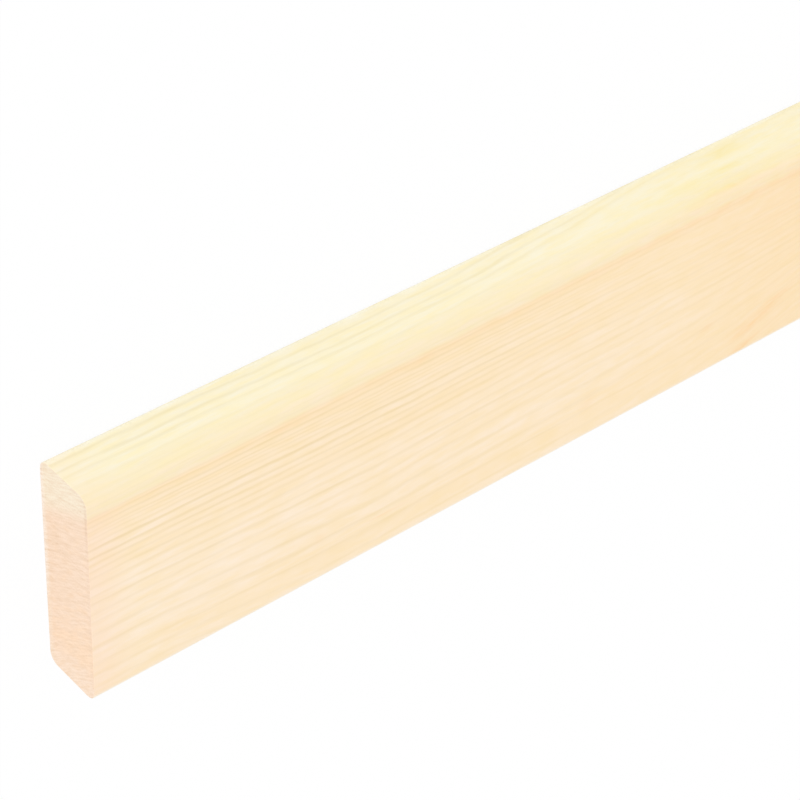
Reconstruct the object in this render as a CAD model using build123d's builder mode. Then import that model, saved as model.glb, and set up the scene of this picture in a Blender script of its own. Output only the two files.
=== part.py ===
"""Planed softwood batten: one straight length of planed timber with its four long arrises rounded.

The batten lies flat on its back, one of its two wide faces. X runs along the grain, Y across the width
and Z up through the thickness. The origin is the middle of the back face, at the middle of the length.
"""

import os

from build123d import *

# Driving dimensions, in millimetres
length = 1000.0
width = 42.0
thickness = 12.0
arris_radius = 2.0

# The blank: a flat rectangle on its back face, drawn square to the grain and run along it
with BuildPart() as batten:
    with BuildSketch(Plane.YZ.offset(-length / 2)) as blank_section:
        Rectangle(width, thickness, align=(Align.CENTER, Align.MIN))
    extrude(amount=length)

    # The planer rounds the four long arrises and the saw leaves both ends square
    long_arrises = batten.edges().filter_by(Axis.X)
    fillet(long_arrises, radius=arris_radius)

batten.part.label = "batten"

os.makedirs("parts", exist_ok=True)
export_step(batten.part, "parts/batten.step")
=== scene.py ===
"""Looks of the planed softwood batten: its finely rounded mesh, and the wood of its faces and ends.

The wood is one solid pattern. Growth rings curve round a pith that lies outside the section, so a ring
that runs along the front face turns over the arris and carries on across the edge and the end grain.
"""

import math

import bmesh
import bpy
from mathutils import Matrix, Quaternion, Vector


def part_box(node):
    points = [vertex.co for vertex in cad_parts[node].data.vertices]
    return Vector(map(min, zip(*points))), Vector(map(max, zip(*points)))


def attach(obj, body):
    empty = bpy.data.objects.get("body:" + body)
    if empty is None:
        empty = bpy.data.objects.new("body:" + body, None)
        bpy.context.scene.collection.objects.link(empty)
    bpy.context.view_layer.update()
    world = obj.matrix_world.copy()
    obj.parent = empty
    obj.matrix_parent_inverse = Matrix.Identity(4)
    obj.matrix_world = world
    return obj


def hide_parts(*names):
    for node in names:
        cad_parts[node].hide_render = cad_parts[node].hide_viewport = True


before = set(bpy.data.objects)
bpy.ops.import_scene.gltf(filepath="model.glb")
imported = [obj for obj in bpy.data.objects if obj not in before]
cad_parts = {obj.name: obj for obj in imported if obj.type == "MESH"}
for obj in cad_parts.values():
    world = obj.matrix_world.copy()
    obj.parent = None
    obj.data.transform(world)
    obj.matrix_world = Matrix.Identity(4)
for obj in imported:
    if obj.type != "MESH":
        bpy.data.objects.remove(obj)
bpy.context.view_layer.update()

# The batten's own box, in metres
LOW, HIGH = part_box("batten")
LENGTH = HIGH.x - LOW.x
WIDTH = HIGH.y - LOW.y
THICKNESS = HIGH.z - LOW.z
MM = 0.001
PER_METRE = 1.0 / MM

# Shape of the edges, and how squarely a face looks along the batten to be part of an end
ARRIS_RADIUS = 2.0 * MM
ARRIS_SEGMENTS = 10
SAWN_EDGE = 0.12 * MM
SAWN_EDGE_SEGMENTS = 2
END_FACING = 0.9

# The camera, measured from the near lower back corner. It looks down on the batten and is rolled.
CAMERA_OFFSET = Vector((-154.71, 298.65, 249.91)) * MM
CAMERA_AIM = Vector((59.67, 30.94, 11.92)) * MM
CAMERA_ROLL = -128.75
SENSOR_WIDTH = 36.0
LENS = 118.74

# Soft studio light: an even white surround, and one wide low lamp towards the upper edge and near end
WHITE = (1.0, 1.0, 1.0, 1.0)
SURROUND_LEVEL = 0.96
LAMP_LEVEL = 0.55
LAMP_SPREAD = 50.0
LAMP_FROM = Vector((-0.55, 0.78, 0.30))
FLOOR_SIZE = 60.0
FLOOR_WHITE = 0.97
FLOOR_SHOWN_WHITE = 0.96

# The wood is measured in millimetres: along the grain from the near end, up from the lower edge and out
# from the back. The pith of the tree lies behind and below the batten.
PITH_HEIGHT = -58.0
PITH_DEPTH = 52.0
LENGTH_MM = LENGTH / MM
WIDTH_MM = WIDTH / MM
THICKNESS_MM = THICKNESS / MM
ARRIS_MM = ARRIS_RADIUS / MM

# Growth rings by their level, which is how high up the front face a ring's dark latewood meets the near
# end, with how dark that latewood is and how warm the pale wood inside it is. Levels past the width
# belong to rings that cross the upper edge instead.
RINGS = (
    (-7.5, 0.28, 0.6),
    (-4.9, 0.28, 0.6),
    (-2.2, 0.26, 0.6),
    (0.6, 0.24, 0.6),
    (3.3, 0.24, 0.5),
    (5.9, 0.30, 0.2),
    (8.1, 0.36, 0.6),
    (11.8, 0.46, 0.0),
    (14.5, 0.47, 0.0),
    (17.2, 0.32, 0.0),
    (18.8, 0.36, 0.1),
    (20.9, 0.62, 0.0),
    (22.5, 0.36, 0.1),
    (24.5, 0.46, 0.0),
    (26.2, 0.52, 0.4),
    (27.5, 0.50, 0.5),
    (28.8, 0.54, 0.45),
    (30.1, 0.84, 0.4),
    (31.95, 1.00, 0.1),
    (33.2, 0.42, 0.4),
    (34.1, 0.40, 0.4),
    (34.9, 0.38, 0.5),
    (35.5, 0.50, 0.6),
    (36.5, 0.66, 0.65),
    (37.55, 0.58, 0.85),
    (38.2, 0.30, 1.0),
    (39.3, 0.14, 1.1),
    (40.3, 0.14, 1.0),
    (41.4, 0.12, 1.0),
    (42.3, 0.12, 1.0),
    (43.3, 0.20, 1.0),
    (44.5, 0.46, 1.0),
    (45.2, 0.62, 1.0),
    (46.2, 0.52, 1.0),
    (47.1, 0.08, 1.0),
)
INNER_LEVEL = -10.0
OUTER_LEVEL = 54.0
OUTER_RING_WIDTH = 0.9
OUTER_RING_DARKNESS = 0.1
OUTER_RING_WARMTH = 1.0

# Finishes, as linear colours
HEART_PALE = (0.980, 0.824, 0.650, 1.0)
HEART_WARM = (0.974, 0.782, 0.542, 1.0)
HEART_LATE = (0.750, 0.551, 0.208, 1.0)
SAP_INNER = (0.958, 0.812, 0.592, 1.0)
# The middle sapwood colour is darker as painted shade on the front-top rounding, and the outer one paler
# as painted light on the upper edge.
SAP_MIDDLE_PAINTED_SHADE = (0.886, 0.776, 0.556, 1.0)
SAP_OUTER_PAINTED_LIGHT = (0.902, 0.840, 0.653, 1.0)
# The rim sapwood colour is palest, as painted light on the back arris against the shade where it meets
# the floor.
SAP_RIM_PAINTED_LIGHT = (0.945, 0.925, 0.800, 1.0)
SAP_LATE = (0.684, 0.564, 0.248, 1.0)
# Painted light: the paler colour of the lower front arris, which the lamp leaves in shade.
LOWER_ARRIS_PAINTED_LIGHT = (0.985, 0.866, 0.690, 1.0)
FLECK_GOLD = (0.942, 0.720, 0.360, 1.0)
FLECK_YELLOW = (0.930, 0.790, 0.370, 1.0)
RESIN_ORANGE = (0.960, 0.600, 0.260, 1.0)
RESIN_YELLOW = (0.875, 0.735, 0.290, 1.0)
END_BLUSH = (0.980, 0.690, 0.560, 1.0)
END_HEART = (0.955, 0.753, 0.598, 1.0)
END_CORE = (0.980, 0.742, 0.548, 1.0)
END_SAP = (0.940, 0.840, 0.675, 1.0)
END_EDGE = (0.965, 0.812, 0.680, 1.0)
END_RIM = (0.980, 0.882, 0.790, 1.0)
END_LATE = (0.760, 0.530, 0.330, 1.0)
# The colour of a dark line just inside each end's front edge.
DARK_END_EDGE = (0.690, 0.460, 0.295, 1.0)

# In the names below, a FADE is where something begins and where it is whole, a BELL is its middle and
# half its width, and a NOISE is the stretch on each axis, the scale and the detail.

# Long shallow dips of the grain on the front face, and one ring that stays flatter
LOW_DIP = 2.3
LOW_DIP_LEVEL_FADE = (24.0, 4.0)
LOW_DIP_ALONG_FADE = (150.0, 90.0)
FLAT_RING = -1.2
FLAT_RING_BELL = (6.6, 1.4)
HIGH_DIP = 0.5
HIGH_DIP_MORE = 0.4
HIGH_DIP_MORE_BELL = (23.0, 4.0)
HIGH_DIP_LEVEL_FADE = (39.0, 34.0)
HIGH_DIP_ALONG_FADE = (95.0, 60.0)
DIP_START_FADE = (5.0, 45.0)
KINK = 0.6
KINK_ALONG_BELL = (56.0, 7.0)
KINK_LEVEL_BELL = (15.0, 8.0)
SETTLE = 0.5
SETTLE_ALONG_FADE = (60.0, 100.0)
SETTLE_LEVEL_BELL = (33.5, 4.0)

# The lean of the rings on the upper edge
SWING = -0.50
SWING_BELL = (53.0, 26.0)
LEAVING = 3.1
LEAVING_FADE = (75.0, 165.0)
BACK_HEIGHT_FADE = (24.0, 42.0)
BACK_DEPTH_FADE = (12.0, 3.0)

# The climb of the grain round a knot below the lower edge, where that ends, and small wanderings
CLIMB = 9.0
CLIMB_ALONG_BELL = (166.0, 20.0)
CLIMB_HEIGHT_BELL = (0.0, 20.0)
PAST_KNOT_FADE = (330.0, 190.0)
WANDER = 5.0
WANDER_SCALE = 0.009
WANDER_FADE = (150.0, 320.0)
WOBBLE = 0.45
WOBBLE_NOISE = ((0.06, 0.16, 0.16), 1.0, 1.0)
TREMBLE = 0.25
TREMBLE_NOISE = ((0.25, 0.6, 0.6), 1.0, 2.0)

# How far latewood reaches into its ring, and how its lines come and go
REACH_LEAST = 0.30
REACH_BY_WIDTH = 0.18
REACH_MOST = 0.42
FINE_REACH = 0.30
FINE_REACH_FADE = (41.5, 43.0)
OUTER_REACH = 0.8
PATCHY = 1.6
PATCHY_ACROSS = 14.0
PATCHY_SCALE = 0.11
PATCHY_DETAIL = 3.0
EARLY_LOSS = -0.12
EARLY_LOSS_FADE = (-5.0, 130.0)
DARK_PAIR_LOSS = -0.35
DARK_PAIR_BELL = (30.9, 1.6)
LATE_LOSS = -0.30
LATE_LOSS_FADE = (70.0, 130.0)
MIDDLE_LOSS = -0.18
MIDDLE_BELL = (28.0, 3.0)
CROWDED_LOSS = -0.55
CROWDED_BELL = (34.8, 1.8)

# Warmth of the heartwood
GRADUAL = 0.36
GRADUAL_FADE = (-10.0, 100.0)
KNOT_WARMTH = 0.7
KNOT_WARMTH_FADE = (95.0, 155.0)
CLOUDS = 0.5
CLOUD_NOISE = ((0.25, 1.0, 1.0), 0.11, 2.0)
BANDS = 0.5
BAND_NOISE = ((0.05, 1.0, 1.0), 0.5, 2.0)
LOW_BAND = 0.35
LOW_BAND_FADE = (15.0, 50.0)
LOW_BAND_BELL = (10.5, 2.5)

# Levels over which one tone of sapwood gives way to the next, by the tone that says so. The middle tone
# is painted shade on the front-top rounding, the outer tone painted light on the upper edge, and the rim
# tone painted light on the back arris by the floor.
SAPWOOD_FADES = {
    "Sapwood": (37.7, 38.9),
    "Middle Sapwood Painted Shade": (40.2, 42.2),
    "Outer Sapwood Painted Light": (42.2, 44.0),
    "Rim Sapwood Painted Light": (46.25, 46.85),
}

# Golden flecks
FLECK_NOISE = ((0.22, 1.0, 1.0), 0.9, 2.0)
FLECK_CONTRAST = 2.6
FLECK_MIDDLE = 0.5

# Resin where the heartwood stops, round the climbing grain, and in the stains
BORDER_RESIN = 0.05
BORDER_RESIN_MORE = 0.09
BORDER_FADE = (5.0, 120.0)
BORDER_BELL = (37.65, 1.1)
KNOT_BORDER_RESIN = 0.14
KNOT_BORDER_FADE = (98.0, 138.0)
KNOT_BORDER_BELL = (39.6, 1.8)
KNOT_EDGE_RESIN = 0.065
KNOT_EDGE_FADE = (90.0, 125.0)
KNOT_EDGE_LEVEL_FADE = (41.0, 43.0)
WASH_RESIN = 0.11
WASH_RESIN_MORE = 0.07
WASH_FADE = (120.0, 158.0)
WASH_BELL = (31.0, 6.0)
WASH_LEVEL_FADE = (39.0, 37.0)
RAGGED = 2.4
RAGGED_NOISE = ((0.3, 1.0, 1.0), 1.2, 3.0)

# Small resin stains: along, ring level, half their length, half their width, how strong.
# The last one is a clear patch within the resin.
STAINS = (
    (58.0, 10.2, 4.0, 0.5, 0.22),
    (103.0, 10.0, 1.8, 1.8, 0.17),
    (96.5, 26.4, 2.5, 0.3, 0.26),
    (131.5, 11.6, 1.5, 0.7, 0.20),
    (44.0, 12.2, 1.2, 0.9, 0.14),
    (37.0, 37.3, 2.5, 0.6, 0.16),
    (64.0, 37.3, 2.2, 0.6, 0.14),
    (144.0, 4.5, 5.0, 1.5, 0.36),
    (149.0, 6.4, 3.5, 1.0, 0.26),
    (142.0, 0.2, 3.2, 0.9, 0.46),
    (52.0, 45.2, 1.4, 1.2, 0.10),
    (131.0, 43.75, 12.0, 0.42, 0.38),
    (133.0, 41.6, 9.0, 0.60, 0.38),
    (138.0, 45.5, 5.5, 0.62, 0.36),
    (158.0, 40.8, 8.0, 1.2, 0.20),
    (144.0, 42.95, 5.0, 0.40, -0.10),
)

# Fine fibres
BROAD_FIBRE_NOISE = ((0.03, 1.0, 1.0), 0.9, 2.0)
FINE_FIBRE_NOISE = ((0.05, 1.0, 1.0), 4.0, 2.0)

# Planed faces
LATEWOOD_SHARE = 0.42
STREAK_SHARE = 0.10
SAP_STREAK_SHARE = 0.08
FLECK_SHARE = 0.38
BLUSH = 0.30
SAP_BLUSH = -0.18
BLUSH_FADE = (9.0, 0.0)
# Where the lower front arris is painted paler as painted light, by height and depth.
LOWER_ARRIS_LIGHT_HEIGHT_FADE = (1.9, 1.1)
LOWER_ARRIS_LIGHT_DEPTH_FADE = (10.6, 11.4)
PLANED_ROUGHNESS = 0.55
LATEWOOD_ROUGHNESS = -0.1
STREAK_ROUGHNESS = 0.15
STREAK_RELIEF = 0.5
PLANED_BUMP = 0.2
PLANED_RELIEF = 0.05 * MM

# Sawn ends
DASH_NOISE = ((1.0, 1.8, 0.28), 1.3, 3.0)
PORE_SCALE = 3.2
PORE_DETAIL = 2.0
PORE_SHARE = 0.6
SAW_MARK_NOISE = ((1.0, 2.6, 0.12), 1.0, 2.0)
SAW_MARK_SHARE = 0.4
END_BLUR = 3.0
END_PATCHES = 3.0
END_PATCH_NOISE = ((1.0, 1.0, 0.4), 0.7, 2.0)
CORE_FADE = (22.0, 8.0)
FOOT_LOSS = -0.9
FOOT_FADE = (8.0, 3.0)
PALE_BACK = 0.9
PALE_BACK_FADE = (1.8, 0.1)
PALE_FOOT = 0.35
PALE_FOOT_FADE = (6.0, 2.0)
END_SAP_FADE = (36.2, 40.6)
BACK_RIM_DEPTH_FADE = (1.4, 0.0)
BACK_RIM_HEIGHT_FADE = (12.0, 20.0)
END_LATEWOOD_SHARE = 0.20
GRIT_SHARE = 1.1
GRIT_MIDDLE = 0.2
# A dark line just inside each end's front edge, strongest high up.
DARK_EDGE_RIM_BELL = (ARRIS_MM - 0.35, 0.30)
DARK_EDGE_RAGGED = 1.2
DARK_EDGE_LEAST = 0.08
DARK_EDGE_MORE = 0.27
DARK_EDGE_HEIGHT_BELL = (37.5, 4.5)
DARK_EDGE_DEPTH_FADE = (6.0, 11.2)
END_ROUGHNESS = 0.8
END_BUMP = 0.3
END_RELIEF = 0.08 * MM


def add_node(tree, kind, inputs=None, **settings):
    """Adds a node, sets it up, and fills its inputs with plain values or links from other sockets."""
    made = tree.nodes.new(kind)
    for name, value in settings.items():
        setattr(made, name, value)
    for socket, value in (inputs or {}).items():
        if isinstance(value, bpy.types.NodeSocket):
            tree.links.new(value, made.inputs[socket])
        else:
            made.inputs[socket].default_value = value
    return made


def calculate(tree, operation, first, second=0.0, third=0.0, clamp=False):
    """One Math node, as its output socket."""
    inputs = {0: first, 1: second, 2: third}
    return add_node(tree, "ShaderNodeMath", inputs, operation=operation, use_clamp=clamp).outputs[0]


def product(tree, *factors):
    """All the factors multiplied together."""
    result = factors[0]
    for factor in factors[1:]:
        result = calculate(tree, "MULTIPLY", result, factor)
    return result


def total(tree, *terms):
    """All the terms added together."""
    result = terms[0]
    for term in terms[1:]:
        result = calculate(tree, "ADD", result, term)
    return result


def plus_share(tree, base, value, share):
    """A base with a share of a value added."""
    return calculate(tree, "MULTIPLY_ADD", value, share, base)


def fade(tree, value, start, end):
    """0 on the start side, 1 past the end, and smooth between them."""
    inputs = {"Value": value, "From Min": start, "From Max": end}
    made = add_node(tree, "ShaderNodeMapRange", inputs, interpolation_type="SMOOTHSTEP")
    return made.outputs["Result"]


def bell(tree, value, centre, width):
    """A bell curve of height 1 about the centre."""
    offset = calculate(tree, "SUBTRACT", value, centre)
    scaled = calculate(tree, "DIVIDE", offset, width)
    squared = calculate(tree, "MULTIPLY", scaled, scaled)
    return calculate(tree, "EXPONENT", calculate(tree, "MULTIPLY", squared, -1.0))


def blend_colours(tree, share, first, second):
    """Mixes two colours by a share from 0 to 1. A Mix node's colours are its inputs 6 and 7."""
    made = add_node(tree, "ShaderNodeMix", data_type="RGBA")
    for socket, value in ((0, share), (6, first), (7, second)):
        if isinstance(value, bpy.types.NodeSocket):
            tree.links.new(value, made.inputs[socket])
        else:
            made.inputs[socket].default_value = value
    return made.outputs[2]


def noise(tree, vector, scale, detail=1.0):
    """A noise value about 0, from roughly -0.5 to 0.5."""
    made = add_node(tree, "ShaderNodeTexNoise", {"Vector": vector, "Scale": scale, "Detail": detail})
    return calculate(tree, "SUBTRACT", made.outputs[0], 0.5)


def stretched_noise(tree, vector, factors, scale, detail):
    """Noise on a vector that is first multiplied by a factor on each axis."""
    made = add_node(tree, "ShaderNodeVectorMath", {0: vector, 1: factors}, operation="MULTIPLY")
    return noise(tree, made.outputs[0], scale, detail)


def split(tree, vector):
    """The three parts of a vector."""
    parts = add_node(tree, "ShaderNodeSeparateXYZ", {0: vector}).outputs
    return parts["X"], parts["Y"], parts["Z"]


def join(tree, x, y, z=0.0):
    """A vector from three parts."""
    return add_node(tree, "ShaderNodeCombineXYZ", {"X": x, "Y": y, "Z": z}).outputs[0]


def new_group(name, inputs, outputs):
    """An empty shader node group with named sockets, as its tree, its input node and its output node."""
    tree = bpy.data.node_groups.new(name, "ShaderNodeTree")
    for socket, kind in inputs:
        tree.interface.new_socket(name=socket, in_out="INPUT", socket_type=kind)
    for socket, kind in outputs:
        tree.interface.new_socket(name=socket, in_out="OUTPUT", socket_type=kind)
    return tree, tree.nodes.new("NodeGroupInput"), tree.nodes.new("NodeGroupOutput")


def use_group(tree, group, inputs):
    """Places a node group in a tree and links its inputs."""
    made = add_node(tree, "ShaderNodeGroup", node_tree=group)
    for socket, value in inputs.items():
        tree.links.new(value, made.inputs[socket])
    return made.outputs


def ring_through(tree, height, depth):
    """The ring through a point: its level on the front face, and how far round the pith the point is."""
    rise = calculate(tree, "SUBTRACT", height, PITH_HEIGHT)
    run = calculate(tree, "SUBTRACT", PITH_DEPTH, depth)
    radius_squared = calculate(tree, "MULTIPLY_ADD", run, run, product(tree, rise, rise))
    front_run_squared = (PITH_DEPTH - THICKNESS_MM) ** 2
    front_rise_squared = calculate(tree, "SUBTRACT", radius_squared, front_run_squared)
    level = calculate(tree, "ADD", calculate(tree, "SQRT", front_rise_squared), PITH_HEIGHT)
    turn = calculate(tree, "ARCTAN2", run, rise)
    around = product(tree, turn, calculate(tree, "SQRT", radius_squared))
    return level, around


def long_dips(tree, along, level):
    """How far the grain dips on the front face: most low down, with a kink and a slow settling."""
    low_reach = product(tree, fade(tree, level, *LOW_DIP_LEVEL_FADE), LOW_DIP)
    low_reach = plus_share(tree, low_reach, bell(tree, level, *FLAT_RING_BELL), FLAT_RING)
    low_dip = product(tree, low_reach, fade(tree, along, *LOW_DIP_ALONG_FADE))
    high_reach = plus_share(tree, HIGH_DIP, bell(tree, level, *HIGH_DIP_MORE_BELL), HIGH_DIP_MORE)
    high_dip = product(tree, high_reach, fade(tree, along, *HIGH_DIP_ALONG_FADE))
    high_dip = product(tree, high_dip, fade(tree, level, *HIGH_DIP_LEVEL_FADE))
    dip = product(tree, total(tree, low_dip, high_dip), fade(tree, along, *DIP_START_FADE))
    kink = product(tree, bell(tree, along, *KINK_ALONG_BELL), bell(tree, level, *KINK_LEVEL_BELL), KINK)
    settle_reach = fade(tree, along, *SETTLE_ALONG_FADE)
    settle = product(tree, settle_reach, bell(tree, level, *SETTLE_LEVEL_BELL), SETTLE)
    return total(tree, dip, kink, settle)


def edge_lean(tree, along, height, depth):
    """How the rings lean on the upper edge: they swing out a little, then leave over the back arris."""
    swing = product(tree, bell(tree, along, *SWING_BELL), SWING)
    leaving = product(tree, fade(tree, along, *LEAVING_FADE), LEAVING)
    by_height = fade(tree, height, *BACK_HEIGHT_FADE)
    by_the_back = product(tree, by_height, fade(tree, depth, *BACK_DEPTH_FADE))
    return product(tree, total(tree, swing, leaving), by_the_back)


def grain_rise(tree, place, along, height, level):
    """How the grain climbs round a knot sawn away below the lower edge, wanders past it, and wobbles."""
    climb_reach = bell(tree, along, *CLIMB_ALONG_BELL)
    climb = product(tree, climb_reach, bell(tree, height, *CLIMB_HEIGHT_BELL), CLIMB)
    slow = noise(tree, join(tree, along, level), WANDER_SCALE)
    wander = product(tree, slow, fade(tree, along, *WANDER_FADE), WANDER)
    wobble = product(tree, stretched_noise(tree, place, *WOBBLE_NOISE), WOBBLE)
    tremble = product(tree, stretched_noise(tree, place, *TREMBLE_NOISE), TREMBLE)
    return total(tree, climb, wander, wobble, tremble)


def make_grain_flow():
    """Object coordinates to millimetres, and to the grain: along it, the ring's level, round the pith.

    The level is also put out without the lean on the upper edge, for the tones, which keep straighter.
    """
    tree, entry, leave = new_group(
        "grain_flow",
        [("Position", "NodeSocketVector")],
        [("Place", "NodeSocketVector"), ("Grain", "NodeSocketVector"), ("Level", "NodeSocketFloat")],
    )
    inputs = {0: entry.outputs["Position"], 1: (PER_METRE,) * 3, 2: tuple(-LOW * PER_METRE)}
    place = add_node(tree, "ShaderNodeVectorMath", inputs, operation="MULTIPLY_ADD").outputs[0]
    along, height, depth = split(tree, place)
    level, around = ring_through(tree, height, depth)
    up = grain_rise(tree, place, along, height, level)
    down = long_dips(tree, along, level)
    upright = calculate(tree, "ADD", calculate(tree, "SUBTRACT", level, up), down)
    grown = calculate(tree, "SUBTRACT", upright, edge_lean(tree, along, height, depth))
    tree.links.new(place, leave.inputs["Place"])
    tree.links.new(upright, leave.inputs["Level"])
    tree.links.new(join(tree, along, grown, around), leave.inputs["Grain"])
    return tree


def all_rings():
    """The listed rings, then even ones out towards the bark."""
    rings = list(RINGS)
    while rings[-1][0] < OUTER_LEVEL:
        rings.append((rings[-1][0] + OUTER_RING_WIDTH, OUTER_RING_DARKNESS, OUTER_RING_WARMTH))
    return rings


ALL_RINGS = all_rings()
RING_SPAN = ALL_RINGS[-1][0] - INNER_LEVEL


def ring_share(tree, level):
    """How far out a level lies among all the rings, from 0 to 1."""
    return calculate(tree, "DIVIDE", calculate(tree, "SUBTRACT", level, INNER_LEVEL), RING_SPAN)


def ring_widths():
    """The width of each ring."""
    edges = [INNER_LEVEL] + [edge for edge, _, _ in ALL_RINGS]
    return [after - before for before, after in zip(edges, edges[1:])]


def curve_through(tree, share, points):
    """A Float Curve with straight stretches between points whose values are both from 0 to 1."""
    made = add_node(tree, "ShaderNodeFloatCurve", {"Value": share})
    curve = made.mapping.curves[0]
    for _ in points[2:]:
        curve.points.new(0.5, 0.5)
    for held, point in zip(curve.points, points):
        held.location = point
        held.handle_type = "VECTOR"
    made.mapping.update()
    return made.outputs[0]


def by_ring(tree, share, values):
    """A value for each ring, true at the ring's middle and blended between the middles."""
    largest = max(values)
    stops = [(0.0, values[0] / largest)]
    for (edge, _, _), width, value in zip(ALL_RINGS, ring_widths(), values):
        stops.append(((edge - width / 2 - INNER_LEVEL) / RING_SPAN, value / largest))
    stops.append((1.0, values[-1] / largest))
    return product(tree, curve_through(tree, share, stops), largest)


def latewood_line(tree, share, level):
    """1 on a ring's latewood line and 0 off it.

    Latewood darkens slowly towards the ring's outer side, where it stops a little shorter. The outermost
    rings, which the upper edge cuts at a slant, have the least of it.
    """
    count = len(ALL_RINGS)
    stops = [(0.0, 0.0)]
    for number, (edge, _, _) in enumerate(ALL_RINGS, start=1):
        stops.append(((edge - INNER_LEVEL) / RING_SPAN, number / count))
    age = calculate(tree, "FRACT", product(tree, curve_through(tree, share, stops), count))
    ring_width = by_ring(tree, share, ring_widths())
    wide_reach = plus_share(tree, REACH_LEAST, ring_width, REACH_BY_WIDTH)
    heart_reach = calculate(tree, "MINIMUM", wide_reach, product(tree, ring_width, REACH_MOST))
    to_fine = calculate(tree, "SUBTRACT", FINE_REACH, heart_reach)
    reach = plus_share(tree, heart_reach, fade(tree, level, *FINE_REACH_FADE), to_fine)
    within = product(tree, calculate(tree, "SUBTRACT", 1.0, age), ring_width)
    to_edge = calculate(tree, "DIVIDE", within, reach)
    past_width = product(tree, age, ring_width)
    past_edge = calculate(tree, "DIVIDE", past_width, product(tree, reach, OUTER_REACH))
    return calculate(tree, "MAXIMUM", fade(tree, to_edge, 1.0, 0.0), fade(tree, past_edge, 1.0, 0.0))


def line_strength(tree, along, level):
    """How clear the lines are: strongest by the near end, the two dark ones most of all.

    They fade towards the climbing grain, where the crowded ones all but vanish, and return past it.
    """
    recover = fade(tree, along, *PAST_KNOT_FADE)
    early = product(tree, fade(tree, along, *EARLY_LOSS_FADE), recover)
    early_loss = plus_share(tree, EARLY_LOSS, bell(tree, level, *DARK_PAIR_BELL), DARK_PAIR_LOSS)
    late = product(tree, fade(tree, along, *LATE_LOSS_FADE), recover)
    late_loss = plus_share(tree, LATE_LOSS, bell(tree, level, *MIDDLE_BELL), MIDDLE_LOSS)
    late_loss = plus_share(tree, late_loss, bell(tree, level, *CROWDED_BELL), CROWDED_LOSS)
    clear = plus_share(tree, 1.0, early, early_loss)
    return plus_share(tree, clear, late, late_loss)


def make_growth_rings():
    """The latewood lines of the growth rings, by the level of the grain."""
    tree, entry, leave = new_group(
        "growth_rings", [("Grain", "NodeSocketVector")], [("Latewood", "NodeSocketFloat")]
    )
    along, level, _ = split(tree, entry.outputs["Grain"])
    share = ring_share(tree, level)
    stops = [(0.0, ALL_RINGS[0][1])]
    stops += [((edge - INNER_LEVEL) / RING_SPAN, dark) for edge, dark, _ in ALL_RINGS]
    shade = curve_through(tree, share, stops)
    line_place = join(tree, along, product(tree, level, PATCHY_ACROSS))
    patchy = plus_share(tree, 1.0, noise(tree, line_place, PATCHY_SCALE, PATCHY_DETAIL), PATCHY)
    line = latewood_line(tree, share, level)
    latewood = product(tree, line, shade, patchy, line_strength(tree, along, level))
    tree.links.new(latewood, leave.inputs["Latewood"])
    return tree


def heart_warmth(tree, grain, along, level):
    """How warm the heartwood is: by ring, more along the batten, and most round the climbing grain."""
    ring_tone = by_ring(tree, ring_share(tree, level), [warm for _, _, warm in ALL_RINGS])
    gradual = product(tree, fade(tree, along, *GRADUAL_FADE), GRADUAL)
    near_knot = product(tree, fade(tree, along, *KNOT_WARMTH_FADE), fade(tree, along, *PAST_KNOT_FADE))
    knot = product(tree, near_knot, KNOT_WARMTH)
    clouds = product(tree, stretched_noise(tree, grain, *CLOUD_NOISE), CLOUDS)
    bands = product(tree, stretched_noise(tree, grain, *BAND_NOISE), BANDS)
    low_reach = fade(tree, along, *LOW_BAND_FADE)
    low_band = product(tree, low_reach, bell(tree, level, *LOW_BAND_BELL), LOW_BAND)
    return total(tree, ring_tone, gradual, knot, clouds, bands, low_band)


def border_resin(tree, along, level):
    """Resin where the heartwood stops and round the climbing grain, as a list of marks."""
    recover = fade(tree, along, *PAST_KNOT_FADE)
    border_share = plus_share(tree, BORDER_RESIN, fade(tree, along, *BORDER_FADE), BORDER_RESIN_MORE)
    border = product(tree, bell(tree, level, *BORDER_BELL), border_share)
    by_knot = product(tree, fade(tree, along, *KNOT_BORDER_FADE), recover)
    knot_border = product(tree, bell(tree, level, *KNOT_BORDER_BELL), by_knot, KNOT_BORDER_RESIN)
    edge_reach = product(tree, fade(tree, along, *KNOT_EDGE_FADE), recover)
    knot_edge = product(tree, fade(tree, level, *KNOT_EDGE_LEVEL_FADE), edge_reach, KNOT_EDGE_RESIN)
    wash_reach = product(tree, fade(tree, along, *WASH_FADE), recover)
    wash_share = plus_share(tree, WASH_RESIN, bell(tree, level, *WASH_BELL), WASH_RESIN_MORE)
    wash = product(tree, wash_reach, fade(tree, level, *WASH_LEVEL_FADE), wash_share)
    return [border, knot_border, knot_edge, wash]


def stain_resin(tree, along, level):
    """The small resin stains, as a list of marks."""
    marks = []
    for stain_along, stain_level, half_length, half_width, strength in STAINS:
        length_share = bell(tree, along, stain_along, half_length)
        width_share = bell(tree, level, stain_level, half_width)
        marks.append(product(tree, length_share, width_share, strength))
    return marks


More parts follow.
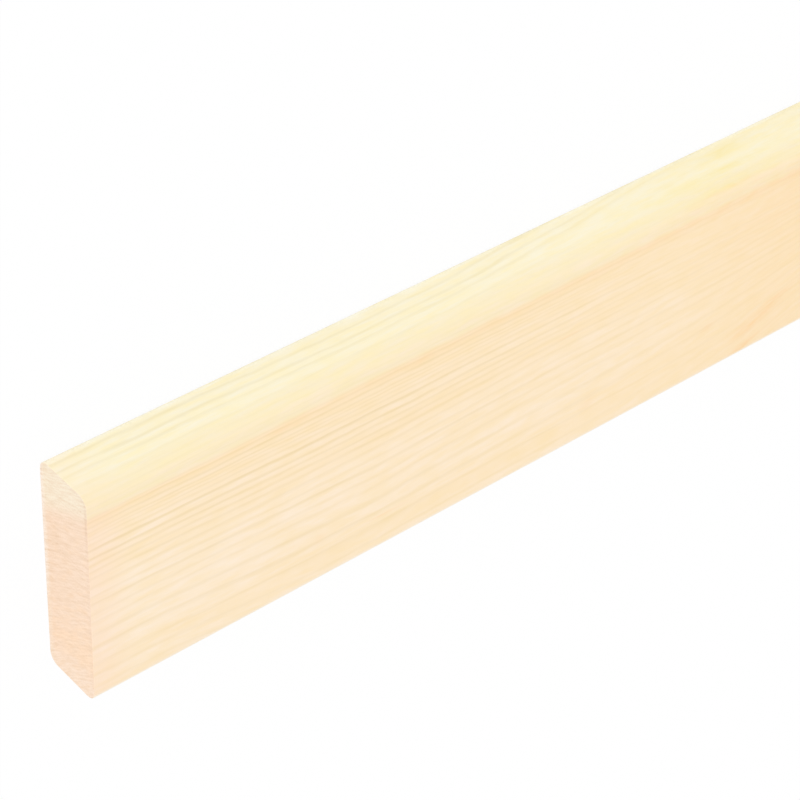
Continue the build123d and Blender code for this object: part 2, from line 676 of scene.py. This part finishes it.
def make_wood_tones():
    """Broad tones: the warmth of the heartwood, the kinds of sapwood, which also hold painted shade on
    the front-top rounding and painted light on the upper edge and back arris, the flecks and the resin.
    """
    names = ["Warmth", *SAPWOOD_FADES, "Flecks", "Resin"]
    tree, entry, leave = new_group(
        "wood_tones",
        [("Grain", "NodeSocketVector"), ("Level", "NodeSocketFloat")],
        [(name, "NodeSocketFloat") for name in names],
    )
    grain = entry.outputs["Grain"]
    level = entry.outputs["Level"]
    along, _, _ = split(tree, grain)
    tree.links.new(heart_warmth(tree, grain, along, level), leave.inputs["Warmth"])
    for name, levels in SAPWOOD_FADES.items():
        tree.links.new(fade(tree, level, *levels), leave.inputs[name])

    # Short golden flecks in heartwood and sapwood alike
    specks = stretched_noise(tree, grain, *FLECK_NOISE)
    flecks = calculate(tree, "MULTIPLY_ADD", specks, FLECK_CONTRAST, FLECK_MIDDLE, clamp=True)
    tree.links.new(flecks, leave.inputs["Flecks"])

    marks = border_resin(tree, along, level) + stain_resin(tree, along, level)
    ragged = plus_share(tree, 1.0, stretched_noise(tree, grain, *RAGGED_NOISE), RAGGED)
    resin = calculate(tree, "MULTIPLY", total(tree, *marks), ragged, clamp=True)
    tree.links.new(resin, leave.inputs["Resin"])
    return tree


def make_fibre_streaks():
    """Fine fibres: long soft streaks and short hairlines that follow the grain."""
    tree, entry, leave = new_group(
        "fibre_streaks", [("Grain", "NodeSocketVector")], [("Streaks", "NodeSocketFloat")]
    )
    broad = stretched_noise(tree, entry.outputs["Grain"], *BROAD_FIBRE_NOISE)
    fine = stretched_noise(tree, entry.outputs["Grain"], *FINE_FIBRE_NOISE)
    tree.links.new(total(tree, broad, fine), leave.inputs["Streaks"])
    return tree


def new_material(name):
    """A material with an empty node tree, its output and a Principled shader."""
    material = bpy.data.materials.new(name)
    material.use_nodes = True
    tree = material.node_tree
    tree.nodes.clear()
    output = tree.nodes.new("ShaderNodeOutputMaterial")
    shader = tree.nodes.new("ShaderNodeBsdfPrincipled")
    tree.links.new(shader.outputs[0], output.inputs["Surface"])
    return material, tree, shader


def planed_wood_colour(tree, tones, latewood, streaks):
    """Heartwood and sapwood with their latewood lines, flecks, fibres and resin, and painted shade and
    painted light in the sapwood of the upper edge and its arrises.
    """
    sapwood = tones["Sapwood"]
    heart = blend_colours(tree, tones["Warmth"], HEART_PALE, HEART_WARM)
    # Sapwood darker on the front-top rounding as painted shade, and paler on the upper edge as painted
    # light.
    sap = blend_colours(tree, tones["Middle Sapwood Painted Shade"], SAP_INNER, SAP_MIDDLE_PAINTED_SHADE)
    sap = blend_colours(tree, tones["Outer Sapwood Painted Light"], sap, SAP_OUTER_PAINTED_LIGHT)
    # Painted light: the back arris is made paler to lift the shade where it meets the floor.
    sap = blend_colours(tree, tones["Rim Sapwood Painted Light"], sap, SAP_RIM_PAINTED_LIGHT)
    early = blend_colours(tree, sapwood, heart, sap)
    fleck = blend_colours(tree, sapwood, FLECK_GOLD, FLECK_YELLOW)
    early = blend_colours(tree, product(tree, tones["Flecks"], FLECK_SHARE), early, fleck)
    late = blend_colours(tree, sapwood, HEART_LATE, SAP_LATE)
    streak_share = plus_share(tree, STREAK_SHARE, sapwood, SAP_STREAK_SHARE)
    dark = plus_share(tree, product(tree, streaks, streak_share), latewood, LATEWOOD_SHARE)
    wood = blend_colours(tree, dark, early, late)
    resin = blend_colours(tree, tones["Middle Sapwood Painted Shade"], RESIN_ORANGE, RESIN_YELLOW)
    return blend_colours(tree, tones["Resin"], wood, resin)


def blush_and_painted_light_by_edges(tree, place, sapwood, wood):
    """Wood a little pinker beside each sawn end, and painted light on the lower front arris: paler wood
    where the lamp leaves it in shade.
    """
    along, height, depth = split(tree, place)
    from_end = calculate(tree, "MINIMUM", along, calculate(tree, "SUBTRACT", LENGTH_MM, along))
    blush = product(tree, fade(tree, from_end, *BLUSH_FADE), plus_share(tree, BLUSH, sapwood, SAP_BLUSH))
    wood = blend_colours(tree, blush, wood, END_BLUSH)
    # Painted light: the lower front arris is made paler to lift the shade it falls in.
    low_down = fade(tree, height, *LOWER_ARRIS_LIGHT_HEIGHT_FADE)
    arris = product(tree, low_down, fade(tree, depth, *LOWER_ARRIS_LIGHT_DEPTH_FADE))
    return blend_colours(tree, arris, wood, LOWER_ARRIS_PAINTED_LIGHT)


def make_planed_face(groups):
    """The long faces: pale planed softwood with a low sheen."""
    material, tree, shader = new_material("planed_face")
    position = tree.nodes.new("ShaderNodeTexCoord").outputs["Object"]
    flow = use_group(tree, groups["flow"], {"Position": position})
    latewood = use_group(tree, groups["rings"], {"Grain": flow["Grain"]})["Latewood"]
    tones = use_group(tree, groups["tones"], {"Grain": flow["Grain"], "Level": flow["Level"]})
    streaks = use_group(tree, groups["fibres"], {"Grain": flow["Grain"]})["Streaks"]

    wood = planed_wood_colour(tree, tones, latewood, streaks)
    wood = blush_and_painted_light_by_edges(tree, flow["Place"], tones["Sapwood"], wood)
    tree.links.new(wood, shader.inputs["Base Color"])

    roughness = plus_share(tree, product(tree, streaks, STREAK_ROUGHNESS), latewood, LATEWOOD_ROUGHNESS)
    roughness = calculate(tree, "ADD", roughness, PLANED_ROUGHNESS)
    tree.links.new(roughness, shader.inputs["Roughness"])
    relief = plus_share(tree, latewood, streaks, STREAK_RELIEF)
    bump_inputs = {"Strength": PLANED_BUMP, "Distance": PLANED_RELIEF, "Height": relief}
    bump = add_node(tree, "ShaderNodeBump", bump_inputs)
    tree.links.new(bump.outputs[0], shader.inputs["Normal"])
    return material


def end_grain_colour(tree, flow, dashes):
    """The pale wood of an end: a warmer core, the sapwood, and a paler foot and back edge."""
    _, height, depth = split(tree, flow["Place"])
    blurred = plus_share(tree, flow["Level"], dashes, END_BLUR)
    patches = product(tree, stretched_noise(tree, flow["Grain"], *END_PATCH_NOISE), END_PATCHES)
    foot = product(tree, fade(tree, height, *FOOT_FADE), FOOT_LOSS)
    core = total(tree, fade(tree, blurred, *CORE_FADE), patches, foot)
    early = blend_colours(tree, core, END_HEART, END_CORE)
    pale_back = product(tree, fade(tree, depth, *PALE_BACK_FADE), PALE_BACK)
    pale_edge = plus_share(tree, pale_back, fade(tree, height, *PALE_FOOT_FADE), PALE_FOOT)
    early = blend_colours(tree, pale_edge, early, END_EDGE)
    early = blend_colours(tree, fade(tree, blurred, *END_SAP_FADE), early, END_SAP)
    above_foot = fade(tree, height, *BACK_RIM_HEIGHT_FADE)
    back_rim = product(tree, fade(tree, depth, *BACK_RIM_DEPTH_FADE), above_foot)
    return blend_colours(tree, back_rim, early, END_RIM)


def past_flat(tree, place, size):
    """How far a place lies past the flat middle of a side, into the rounding of either arris."""
    offset = calculate(tree, "ABSOLUTE", calculate(tree, "SUBTRACT", place, size / 2))
    past = calculate(tree, "SUBTRACT", offset, size / 2 - ARRIS_MM)
    return calculate(tree, "MAXIMUM", past, 0.0)


def dark_end_edge_line(tree, place, dashes):
    """A dark line just inside an end's front edge, strongest high up."""
    _, height, depth = split(tree, place)
    past_height = past_flat(tree, height, WIDTH_MM)
    past_depth = past_flat(tree, depth, THICKNESS_MM)
    depth_squared = product(tree, past_depth, past_depth)
    past_squared = calculate(tree, "MULTIPLY_ADD", past_height, past_height, depth_squared)
    rim = bell(tree, calculate(tree, "SQRT", past_squared), *DARK_EDGE_RIM_BELL)
    ragged = plus_share(tree, 1.0, dashes, DARK_EDGE_RAGGED)
    strength = plus_share(tree, DARK_EDGE_LEAST, bell(tree, height, *DARK_EDGE_HEIGHT_BELL), DARK_EDGE_MORE)
    return product(tree, rim, fade(tree, depth, *DARK_EDGE_DEPTH_FADE), ragged, strength)


def make_sawn_end(groups):
    """The two ends: rougher, pinker end grain with fine saw marks and rays."""
    material, tree, shader = new_material("sawn_end")
    position = tree.nodes.new("ShaderNodeTexCoord").outputs["Object"]
    flow = use_group(tree, groups["flow"], {"Position": position})
    latewood = use_group(tree, groups["rings"], {"Grain": flow["Grain"]})["Latewood"]

    dashes = stretched_noise(tree, flow["Grain"], *DASH_NOISE)
    pores = product(tree, noise(tree, flow["Grain"], PORE_SCALE, PORE_DETAIL), PORE_SHARE)
    saw_marks = product(tree, stretched_noise(tree, flow["Place"], *SAW_MARK_NOISE), SAW_MARK_SHARE)
    grit = total(tree, dashes, pores, saw_marks)

    early = end_grain_colour(tree, flow, dashes)
    grit_dark = plus_share(tree, GRIT_MIDDLE, grit, GRIT_SHARE)
    dark = plus_share(tree, grit_dark, latewood, END_LATEWOOD_SHARE)
    wood = blend_colours(tree, dark, early, END_LATE)
    wood = blend_colours(tree, dark_end_edge_line(tree, flow["Place"], dashes), wood, DARK_END_EDGE)
    tree.links.new(wood, shader.inputs["Base Color"])
    shader.inputs["Roughness"].default_value = END_ROUGHNESS
    bump_inputs = {"Strength": END_BUMP, "Distance": END_RELIEF, "Height": grit}
    bump = add_node(tree, "ShaderNodeBump", bump_inputs)
    tree.links.new(bump.outputs[0], shader.inputs["Normal"])
    return material


def round_edges(shape, edges, radius, segments):
    """Rounds edges of a bmesh to a radius."""
    bmesh.ops.bevel(
        shape,
        geom=edges,
        affect="EDGES",
        offset=radius,
        offset_type="OFFSET",
        segments=segments,
        profile=0.5,
        material=-1,
    )


def make_batten(planed, sawn):
    """The batten: a block with four rounded arrises, and the hair of a bevel that a fine saw leaves."""
    shape = bmesh.new()
    bmesh.ops.create_cube(shape, size=1.0)
    bmesh.ops.scale(shape, vec=(LENGTH, WIDTH, THICKNESS), verts=shape.verts)
    bmesh.ops.translate(shape, vec=(LOW + HIGH) / 2, verts=shape.verts)
    long_edges = [e for e in shape.edges if abs(e.verts[0].co.x - e.verts[1].co.x) > LENGTH / 2]
    round_edges(shape, long_edges, ARRIS_RADIUS, ARRIS_SEGMENTS)
    ends = [f for f in shape.faces if abs(f.normal.x) > END_FACING]
    rims = [e for f in ends for e in f.edges]
    round_edges(shape, rims, SAWN_EDGE, SAWN_EDGE_SEGMENTS)
    for face in shape.faces:
        face.material_index = 1 if abs(face.normal.x) > END_FACING else 0
        face.smooth = abs(face.normal.x) < END_FACING
    mesh = bpy.data.meshes.new("planed_batten")
    shape.to_mesh(mesh)
    shape.free()
    mesh.materials.append(planed)
    mesh.materials.append(sawn)
    piece = bpy.data.objects.new("planed_batten", mesh)
    bpy.context.scene.collection.objects.link(piece)
    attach(piece, "root")
    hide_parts("batten")


def seen_directly(tree):
    """1 for rays from the camera and for what gloss and glass show, 0 for light falling on the wood."""
    path = tree.nodes.new("ShaderNodeLightPath").outputs
    shown = calculate(tree, "MAXIMUM", path["Is Camera Ray"], path["Is Glossy Ray"])
    return calculate(tree, "MAXIMUM", shown, path["Is Transmission Ray"])


def make_white_floor_material():
    """Matt white that shows the camera a clean background and keeps a faint shadow."""
    material = bpy.data.materials.new("white_floor")
    material.use_nodes = True
    tree = material.node_tree
    tree.nodes.clear()
    white = (FLOOR_WHITE, FLOOR_WHITE, FLOOR_WHITE, 1.0)
    matt = add_node(tree, "ShaderNodeBsdfDiffuse", {"Color": white})
    shown = add_node(tree, "ShaderNodeEmission", {"Color": WHITE, "Strength": 1.0})
    share = calculate(tree, "MULTIPLY", seen_directly(tree), FLOOR_SHOWN_WHITE)
    mixed = add_node(tree, "ShaderNodeMixShader", {0: share, 1: matt.outputs[0], 2: shown.outputs[0]})
    output = tree.nodes.new("ShaderNodeOutputMaterial")
    tree.links.new(mixed.outputs[0], output.inputs["Surface"])
    return material


def make_floor():
    """A wide flat floor under the batten."""
    shape = bmesh.new()
    bmesh.ops.create_grid(shape, x_segments=1, y_segments=1, size=FLOOR_SIZE / 2)
    mesh = bpy.data.meshes.new("floor")
    shape.to_mesh(mesh)
    shape.free()
    mesh.materials.append(make_white_floor_material())
    floor = bpy.data.objects.new("floor", mesh)
    bpy.context.scene.collection.objects.link(floor)


def light_studio():
    """An even surround, white to the camera, and one wide soft lamp."""
    world = bpy.data.worlds.new("studio")
    bpy.context.scene.world = world
    world.use_nodes = True
    tree = world.node_tree
    tree.nodes.clear()
    level = plus_share(tree, SURROUND_LEVEL, seen_directly(tree), 1.0 - SURROUND_LEVEL)
    surround = add_node(tree, "ShaderNodeBackground", {"Color": WHITE, "Strength": level})
    output = tree.nodes.new("ShaderNodeOutputWorld")
    tree.links.new(surround.outputs[0], output.inputs["Surface"])

    lamp = bpy.data.lights.new("soft_lamp", "SUN")
    lamp.energy = LAMP_LEVEL
    lamp.angle = math.radians(LAMP_SPREAD)
    holder = bpy.data.objects.new("soft_lamp", lamp)
    holder.rotation_mode = "QUATERNION"
    holder.rotation_quaternion = (-LAMP_FROM).to_track_quat("-Z", "Y")
    bpy.context.scene.collection.objects.link(holder)


def place_camera():
    """The camera, rolled so that the upper edge of the batten is at the top of the picture."""
    lens = bpy.data.cameras.new("camera")
    lens.sensor_width = SENSOR_WIDTH
    lens.lens = LENS
    camera = bpy.data.objects.new("camera", lens)
    bpy.context.scene.collection.objects.link(camera)
    camera.location = LOW + CAMERA_OFFSET
    level = (CAMERA_AIM - CAMERA_OFFSET).to_track_quat("-Z", "Y")
    roll = Quaternion((0.0, 0.0, 1.0), math.radians(-CAMERA_ROLL))
    camera.rotation_mode = "QUATERNION"
    camera.rotation_quaternion = level @ roll
    bpy.context.scene.camera = camera


groups = {
    "flow": make_grain_flow(),
    "rings": make_growth_rings(),
    "tones": make_wood_tones(),
    "fibres": make_fibre_streaks(),
}
make_batten(make_planed_face(groups), make_sawn_end(groups))
make_floor()
light_studio()
place_camera()
bpy.context.scene.view_settings.view_transform = "Standard"
